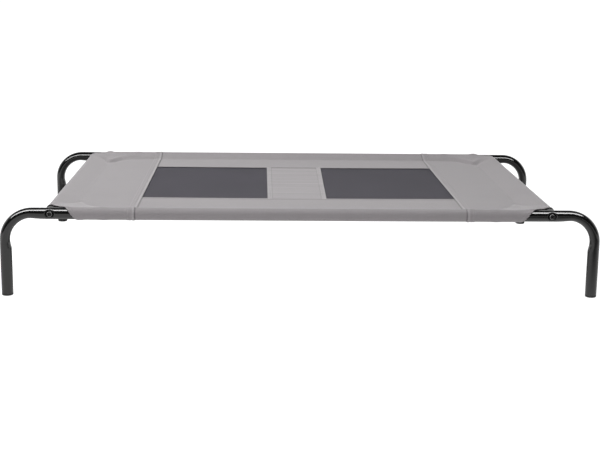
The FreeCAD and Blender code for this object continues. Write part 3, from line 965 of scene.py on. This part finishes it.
def make_band():
    """The rear band, from the nets to the long sleeve and round the rail."""
    reach, inner = NET_OUTER_X + SEAM_TUCK, NET_OUTER_X - 4 * MM
    us = stations((-reach, -inner, 1.5 * MM), (-inner, inner, 6 * MM), (inner, reach, 1.5 * MM))
    vs = stations(
        (NET_HALF_Y, NET_HALF_Y + 12 * MM, 1.0 * MM),
        (NET_HALF_Y + 12 * MM, STITCH_Y - 12 * MM, 5 * MM),
        (STITCH_Y - 12 * MM, STITCH_Y + 6 * MM, 1.5 * MM),
        (STITCH_Y + 6 * MM, RAIL_Y - 12 * MM, 3 * MM),
        (RAIL_Y - 12 * MM, RAIL_Y + 46 * MM, 2.0 * MM),
        (RAIL_Y + 46 * MM, SLEEVE_V, 5 * MM),
    )
    return lay_on_bed(cut_cloth("rear_band_cloth", us, vs), band_lift)


def make_insert(name, start, end, thickness, lift, step):
    """A flat piece between the two side bands, tucked under them at its ends."""
    edge = 12 * MM
    us = stations((start, start + edge, 1 * MM), (start + edge, end - edge, step), (end - edge, end, 1 * MM))
    vs = stations((-NET_HALF_Y - INSERT_TUCK, NET_HALF_Y + INSERT_TUCK, step))
    return lay_on_bed(cut_cloth(name, us, vs), lift, thickness)


def under(u, v):
    """The nets and the centre cloth lie just under the cloth that they are sewn to."""
    return np.full(len(u), -1.1 * MM)


def centre_lift(u, v):
    """The centre band's hems and their rows of stitches."""
    inside = CENTRE_HALF - np.abs(u - CENTRE_MIDDLE)
    return ridge(inside, -2 * MM, CENTRE_HEM, 0.9 * MM) + groove(inside, CENTRE_ROW, 0.3 * MM) - 0.2 * MM


def sewn(piece, material, node):
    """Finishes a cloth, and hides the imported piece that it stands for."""
    dress(piece, material)
    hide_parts(node)


right_panel = make_end_panel()
left_panel = mirror_copy(right_panel, "left_end_cloth", across_x=True)
panel_flat = (SLEEVE_U - NET_OUTER_X + CUT_SPARE, 2 * SLEEVE_V)
for panel, side in ((right_panel, "right"), (left_panel, "left")):
    sewn(panel, CLOTH, f"{side}_end_panel")

rear_band = make_band()
front_band = mirror_copy(rear_band, "front_band_cloth", across_y=True)
band_flat = (2 * (NET_OUTER_X + SEAM_TUCK), SLEEVE_V - NET_HALF_Y)
for band, side in ((rear_band, "rear"), (front_band, "front")):
    sewn(band, CLOTH, f"{side}_band")

cloths = [right_panel, left_panel, rear_band, front_band]

# Each net reaches 6 mm under its end panel and 2 mm under the centre band.
left_net_ends = (-NET_OUTER_X - 6 * MM, CENTRE_LEFT + 2 * MM)
right_net_ends = (CENTRE_RIGHT - 2 * MM, NET_OUTER_X + 6 * MM)
for side, ends in (("left", left_net_ends), ("right", right_net_ends)):
    net = make_insert(f"{side}_net_cloth", *ends, NET_THICKNESS, under, 6 * MM)
    sewn(net, NET, f"{side}_net")
    cloths.append(net)

centre_ends = (CENTRE_LEFT - 1 * MM, CENTRE_RIGHT + 1 * MM)
centre = make_insert("centre_cloth", *centre_ends, PLY, centre_lift, 5 * MM)
sewn(centre, CENTRE_CLOTH, "centre_band")
cloths.append(centre)

# ---- the sewing ----------------------------------------------------------------------------------

STITCH_HALF = Vector((1.55 * MM, 0.42 * MM, 0.34 * MM))


def make_stitch():
    """One stitch of thick thread, lying along X: plump in the middle, its ends pulled down into the cloth."""
    deselect()
    bpy.ops.mesh.primitive_uv_sphere_add(segments=6, ring_count=5, radius=1)
    stitch = named("stitch")
    bpy.ops.object.mode_set(mode="EDIT")
    bpy.ops.transform.rotate(value=math.pi / 2, orient_axis="Y", center_override=(0, 0, 0))
    bpy.ops.transform.resize(value=STITCH_HALF, center_override=(0, 0, 0))
    pick(stitch, lambda co: abs(co.x) > 1.3 * MM)
    bpy.ops.transform.translate(value=(0, 0, -0.35 * MM))
    bpy.ops.object.mode_set(mode="OBJECT")
    return settle(stitch)


def row_of_stitches(stitch, corners, lift):
    """Stitches along a line on the flat cut, from corner to corner, laid on the bed with the cloth."""
    ends = np.array(corners)
    runs = np.linalg.norm(np.diff(ends, axis=0), axis=1)
    marks = np.concatenate([[0], np.cumsum(runs)])
    row = stitch.copy()
    row.data = stitch.data.copy()
    bpy.context.collection.objects.link(row)
    repeat = row.modifiers.new("repeat", "ARRAY")
    repeat.count = int(marks[-1] / STITCH_PITCH)
    repeat.use_relative_offset = False
    repeat.use_constant_offset = True
    repeat.constant_offset_displace = (STITCH_PITCH, 0, 0)
    apply_modifiers(row)

    along, aside, above = spots_of(row.data).T
    along = np.clip(along + STITCH_PITCH / 2, 0, marks[-1] - 1e-6)
    stretch = np.searchsorted(marks, along, side="right") - 1
    ahead = (np.diff(ends, axis=0) / runs[:, None])[stretch]
    u = ends[stretch, 0] + ahead[:, 0] * (along - marks[stretch]) - ahead[:, 1] * aside
    v = ends[stretch, 1] + ahead[:, 1] * (along - marks[stretch]) + ahead[:, 0] * aside

    step = 0.4 * MM
    here = np.stack(fit_to_bed(u, v), axis=1)
    run_u = np.stack(fit_to_bed(u + step, v), axis=1) - here
    run_v = np.stack(fit_to_bed(u, v + step), axis=1) - here
    out = np.cross(run_u, run_v)
    out /= np.linalg.norm(out, axis=1)[:, None]
    rise = lift(u, v) + PLY / 2 + above + 0.12 * MM
    put_spots(row.data, here + out * rise[:, None])
    return row


def sew(name, rows, lift):
    """Joins rows of stitches to one piece of thread work."""
    return smooth(join([row_of_stitches(STITCH, corners, lift) for corners in rows], name), 60)


STITCH = make_stitch()
SEAM_REACH = RAIL_Y + 36 * MM
CROSS_ROW_REACH = 288 * MM
LONG_ROW_END = 452 * MM

seams = [[(NET_OUTER_X + row, -SEAM_REACH), (NET_OUTER_X + row, SEAM_REACH)] for row in SEAM_ROWS]
seams.append([(STITCH_X, -CROSS_ROW_REACH), (STITCH_X, CROSS_ROW_REACH)])
for side in (-1, 1):
    seams.append([(NET_OUTER_X + SEAM_WIDTH, side * STITCH_Y), (LONG_ROW_END, side * STITCH_Y)])
    seams.append([(u - 0.75 * HEM_ROW, side * (v - 0.66 * HEM_ROW)) for u, v in NOTCH])
right_thread = sew("right_end_thread", seams, panel_lift)
left_thread = mirror_copy(right_thread, "left_end_thread", across_x=True)

rear_rows = [[(-NET_OUTER_X, line), (NET_OUTER_X, line)] for line in (NET_HALF_Y + BAND_ROW, STITCH_Y)]
rear_thread = sew("rear_band_thread", rear_rows, band_lift)
front_thread = mirror_copy(rear_thread, "front_band_thread", across_y=True)

centre_lines = (CENTRE_LEFT + CENTRE_ROW, CENTRE_RIGHT - CENTRE_ROW)
centre_rows = [[(line, -NET_HALF_Y), (line, NET_HALF_Y)] for line in centre_lines]
centre_thread = sew("centre_thread", centre_rows, centre_lift)
bpy.data.objects.remove(STITCH)

threads = [right_thread, left_thread, rear_thread, front_thread, centre_thread]
for thread in threads:
    dress(thread, THREAD)


# How far to the right the seams across the bed were sewn, and how much further at the nets' rear edge.
TRUE_X = CROSS_X - 16 * MM
SEAM_LINES = (-TRUE_X, -STITCH_X, -NET_OUTER_X, CENTRE_LEFT, CENTRE_RIGHT, NET_OUTER_X, STITCH_X, TRUE_X)
SEAM_OFF = np.array([0, -3, -3.4, 0, 0, -1.5, -4.5, 0]) * MM
SEAM_TURN = np.array([0, 0, 0.3, 0, 2.7, -1.5, 0, 0]) * MM
REAR_CORNER_X, REAR_CORNER_SPREAD = 530 * MM, 21 * MM
RIGHT_PULL, LEFT_PULL = -14 * MM, 9 * MM


def as_sewn(piece):
    """Moves the seams and the rear corners a few millimetres off true, as they were sewn."""
    spots = spots_of(piece.data)
    x, y = spots[:, 0].copy(), spots[:, 1]
    rearwards = np.clip(y / NET_HALF_Y, -1, 1)
    x += np.interp(x, SEAM_LINES, SEAM_OFF) + rearwards * np.interp(x, SEAM_LINES, SEAM_TURN)
    at_end = np.exp(-(((np.abs(x) - REAR_CORNER_X) / REAR_CORNER_SPREAD) ** 2))
    x += up_on_rail(y) * at_end * np.where(x > 0, RIGHT_PULL, LEFT_PULL)
    spots[:, 0] = x
    put_spots(piece.data, spots)


for piece in (*cloths, *threads):
    as_sewn(piece)

# ---- camera, lights and floor --------------------------------------------------------------------

EYE = Vector((-0.0913, -3.0436, 0.7308))
YAW, PITCH, ROLL = [math.radians(turn) for turn in (1.869, 12.151, 0.696)]

bpy.ops.object.camera_add()
camera = named("camera")
forward = Vector((math.sin(YAW) * math.cos(PITCH), math.cos(YAW) * math.cos(PITCH), -math.sin(PITCH)))
right = Vector((math.cos(YAW), -math.sin(YAW), 0))
up = right.cross(forward)
right, up = (
    math.cos(ROLL) * right + math.sin(ROLL) * up,
    -math.sin(ROLL) * right + math.cos(ROLL) * up,
)
camera.matrix_world = Matrix.Translation(EYE) @ Matrix((right, up, -forward)).transposed().to_4x4()
camera.data.sensor_width = 36
camera.data.lens = 75.26
bpy.context.scene.camera = camera


def softbox(name, place, aim, width, depth, watts):
    bpy.ops.object.light_add(type="AREA", location=place)
    lamp = named(name)
    lamp.data.shape = "RECTANGLE"
    lamp.data.size, lamp.data.size_y = width, depth
    lamp.data.energy = watts
    lamp.rotation_euler = (Vector(aim) - Vector(place)).to_track_quat("-Z", "Y").to_euler()
    return lamp


strip_softbox = softbox("strip_softbox", (-0.4, -0.81, 1.45), (-0.4, -0.81, 0), 4.4, 0.52, 124)
strip_softbox.visible_diffuse = False
overhead_softbox = softbox("overhead_softbox", (-1.0, 0.9, 2.4), (0, 0.1, 0.2), 3.0, 2.0, 118)
overhead_softbox.visible_glossy = False
front_softbox = softbox("front_softbox", (-0.6, -2.4, 1.5), (0, -0.4, 0.2), 3.0, 1.0, 52)
front_softbox.visible_glossy = False

deselect()
bpy.ops.mesh.primitive_plane_add(size=160)
floor = named("floor")
floor_paint = Paint("pale_floor", Roughness=0.9, Emission_Color=(1, 1, 1, 1), Emission_Strength=1.0)
speck = floor_paint.noise(floor_paint.place(), 3.0)
floor_paint.use("Base Color", floor_paint.blend(speck, grey(0.14), grey(0.16)))
floor.data.materials.append(floor_paint.material)

# A card on the floor, seen only in reflections: a painted shadow of the bed under the bed and, further off, a
# painted dark reflection before the right leg.
CARD_LOW, CARD_HIGH = Vector((-1.1, -1.9, 2 * MM)), Vector((1.6, 0.46, 2 * MM))
CARD_FRONT = -0.42
CARD_LEFT = 0.2

bpy.ops.mesh.primitive_plane_add(size=1)
card = named("reflected_card")
bpy.ops.transform.resize(value=(CARD_HIGH.x - CARD_LOW.x, CARD_HIGH.y - CARD_LOW.y, 1))
bpy.ops.transform.translate(value=(CARD_LOW + CARD_HIGH) / 2)
settle(card)
card.visible_camera = False
card.visible_diffuse = False
card.visible_shadow = False
card_paint = Paint("reflected_card", Roughness=0.9, Specular_IOR_Level=0.0, Emission_Strength=1.0)
spot = card_paint.place()
spot_x, spot_y = card_paint.axis(spot, 0), card_paint.axis(spot, 1)
before_leg = ((CARD_FRONT - spot_y) * 2.2).clamped() * ((spot_x - CARD_LEFT) * 2.5).clamped()
bed_shadow_under = ((spot_y + 0.38) * 6.0).clamped() * ((1.05 - spot_x.math("ABSOLUTE")) * 4.0).clamped()
card_paint.use("Base Color", card_paint.blend(card_paint.noise(spot, 3.0), grey(0.006), grey(0.01)))
# The card's glow is taken away where it paints the bed's shadow and the dark reflection before the right leg.
card_paint.use("Emission Color", card_paint.blend(before_leg * 0.85 + bed_shadow_under * 0.68, grey(1.0), grey(0.0)))
card.data.materials.append(card_paint.material)


def studio_world():
    """A room whose far wall is bright, dim elsewhere, and white to the camera."""
    world = bpy.data.worlds.new("studio")
    bpy.context.scene.world = world
    world.use_nodes = True
    room = Nodes(world.node_tree)
    background = room.tree.nodes["Background"]
    background.inputs["Color"].default_value = grey(1.0)
    where = room.node("ShaderNodeTexCoord", {}, output="Generated")
    fade = {"interpolation_type": "SMOOTHSTEP"}
    rearwards = room.node("ShaderNodeMapRange", fade, room.axis(where, 1), -0.35, 0.55, 0.04, 1.15)
    upwards = room.node("ShaderNodeMapRange", fade, room.axis(where, 2), 0.3, 0.6, 1.0, 0.08)
    to_camera = room.node("ShaderNodeLightPath", {}, output="Is Camera Ray")
    strength = (rearwards * upwards).math("MAXIMUM", to_camera)
    room.tree.links.new(strength.socket, background.inputs["Strength"])


studio_world()
bpy.context.scene.view_settings.view_transform = "Standard"
